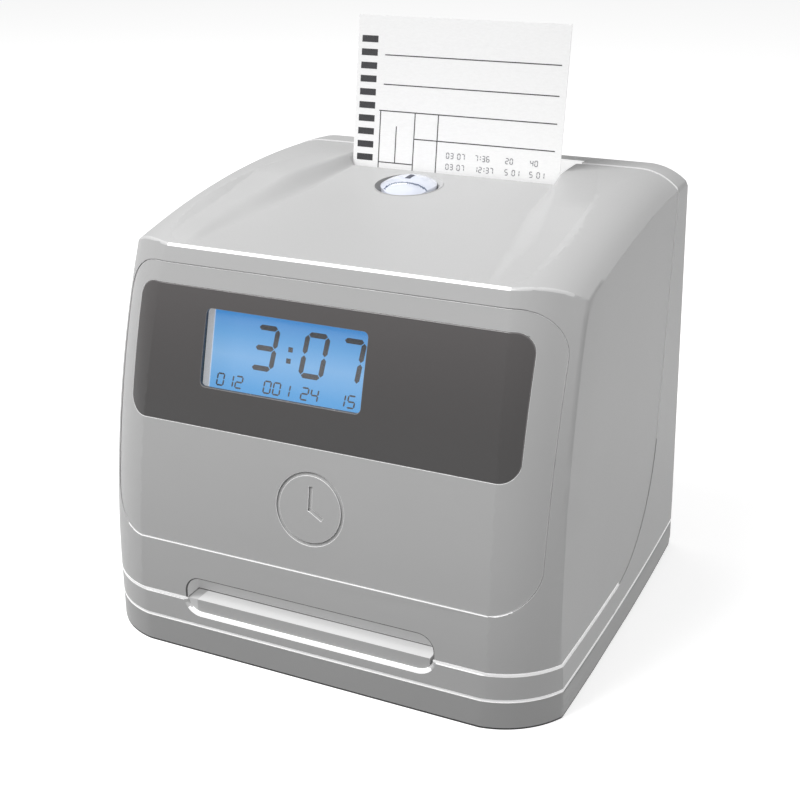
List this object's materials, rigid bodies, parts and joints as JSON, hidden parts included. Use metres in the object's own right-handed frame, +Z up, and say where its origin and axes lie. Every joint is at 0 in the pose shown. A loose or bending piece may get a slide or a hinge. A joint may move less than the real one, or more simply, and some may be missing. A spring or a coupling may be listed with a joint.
{
  "type": "punch time clock",
  "caption": "Desk or wall punch time clock with a domed lift-off cover, a display window, a lit print button and a time card standing in the top slot, over a geared print mechanism.",
  "frame": {"origin": "middle of the footprint, on the plane the rubber feet stand on", "axes": "+X to the user's right, +Y from the front panel to the back, +Z up"},
  "size_m": [0.186, 0.1646, 0.2221],
  "materials": {
    "case_plastic": "satin silver-grey moulded ABS",
    "panel_plastic": "satin silver-grey insert",
    "dark_window": "smoked gloss insert",
    "clear_plastic": "clear moulded pane",
    "steel": "zinc-plated sheet",
    "bright_steel": "ground and polished",
    "motor_metal": "plated can",
    "brass": "cut teeth",
    "white_plastic": "moulded acetal",
    "black_plastic": "fine-grained black moulding",
    "dark_metal": "dark print head",
    "rubber": "moulded rubber",
    "circuit_board": "solder-masked board",
    "battery": "shrink-sleeved cells",
    "lcd": "blue backlit display",
    "button": "translucent lit cap",
    "card": "printed card stock"
  },
  "bodies": {
    "root": {"base_tray": "case_plastic", "rear_housing": "case_plastic", "rubber_feet": "rubber", "case_screws": "bright_steel", "power_jack": "black_plastic", "side_plate_left": "steel", "side_plate_right": "steel", "front_crossbar": "steel", "rear_card_guide": "white_plastic", "front_card_guide": "white_plastic", "platen": "rubber", "guide_rods": "bright_steel", "feed_motor": "motor_metal", "carriage_motor": "motor_metal", "drive_belt": "rubber", "ribbon_cartridge": "black_plastic", "main_board": "circuit_board", "board_standoffs": "white_plastic", "backup_battery": "battery", "lock_strike": "steel", "display_bracket": "steel", "display_board": "circuit_board", "display_frame": "white_plastic", "display_glass": "lcd"},
    "cover": {"top_cover": "case_plastic", "front_panel": "panel_plastic", "dark_window": "dark_window", "clear_window": "clear_plastic", "button_ring": "case_plastic", "button_board": "circuit_board", "lock_barrel": "bright_steel"},
    "button": {"print_button": "button"},
    "key": {"key_cylinder": "bright_steel", "lock_cam": "bright_steel"},
    "card": {"time_card": "card"},
    "head": {"head_carriage": "black_plastic", "print_head": "dark_metal"},
    "drive": {"drive_pulley": "white_plastic"},
    "idler": {"idler_pulley": "white_plastic"},
    "feed": {"feed_shaft": "bright_steel", "feed_gear": "white_plastic"},
    "pinion": {"motor_pinion": "brass"},
    "pressure": {"pressure_rollers": "rubber"},
    "knob": {"ribbon_knob": "white_plastic"}
  },
  "joints": [
    {"name": "cover_lift", "type": "slide", "parent": "root", "child": "cover", "axis": [0, 0, 1], "range_m": [0, 0.16]},
    {"name": "button_press", "type": "slide", "parent": "cover", "child": "button", "axis": [0, 0.1073, -0.9942], "range_m": [0, 0.0015], "stiffness_N_per_m": 300, "springref_m": -0.002},
    {"name": "key_turn", "type": "hinge", "parent": "cover", "child": "key", "pos_m": [-0.08, 0.013, 0.06], "axis": [1, 0, 0], "range_deg": [0, 90]},
    {"name": "card_slide", "type": "slide", "parent": "root", "child": "card", "axis": [0, 0.1288, 0.9917], "range_m": [0, 0.14]},
    {"name": "head_slide", "type": "slide", "parent": "root", "child": "head", "axis": [1, 0, 0], "range_m": [0, 0.04]},
    {"name": "drive_pulley_turn", "type": "hinge", "parent": "root", "child": "drive", "pos_m": [-0.042, 0.00502, 0.09976], "axis": [0, 0.9917, -0.1288], "range_deg": [0, 330]},
    {"name": "idler_pulley_turn", "type": "hinge", "parent": "root", "child": "idler", "pos_m": [0.042, 0.00502, 0.09976], "axis": [0, 0.9917, -0.1288], "range_deg": [0, 330]},
    {"name": "feed_turn", "type": "hinge", "parent": "root", "child": "feed", "pos_m": [0, 0.05073, 0.12407], "axis": [1, 0, 0], "continuous": true},
    {"name": "pinion_turn", "type": "hinge", "parent": "root", "child": "pinion", "pos_m": [0.06, 0.06742, 0.11132], "axis": [1, 0, 0], "continuous": true},
    {"name": "pressure_turn", "type": "hinge", "parent": "root", "child": "pressure", "pos_m": [0, 0.03586, 0.12601], "axis": [1, 0, 0], "continuous": true},
    {"name": "knob_turn", "type": "hinge", "parent": "root", "child": "knob", "pos_m": [0.026, 0.02037, 0.14415], "axis": [0, 0.1288, 0.9917], "continuous": true}
  ],
  "couplings": [
    {"joint": "drive_pulley_turn", "follows": "head_slide", "rad_per_m": 133.33},
    {"joint": "idler_pulley_turn", "follows": "head_slide", "rad_per_m": 133.33},
    {"joint": "pinion_turn", "follows": "feed_turn", "ratio": -2.5},
    {"joint": "pressure_turn", "follows": "feed_turn", "ratio": -1.3333}
  ]
}
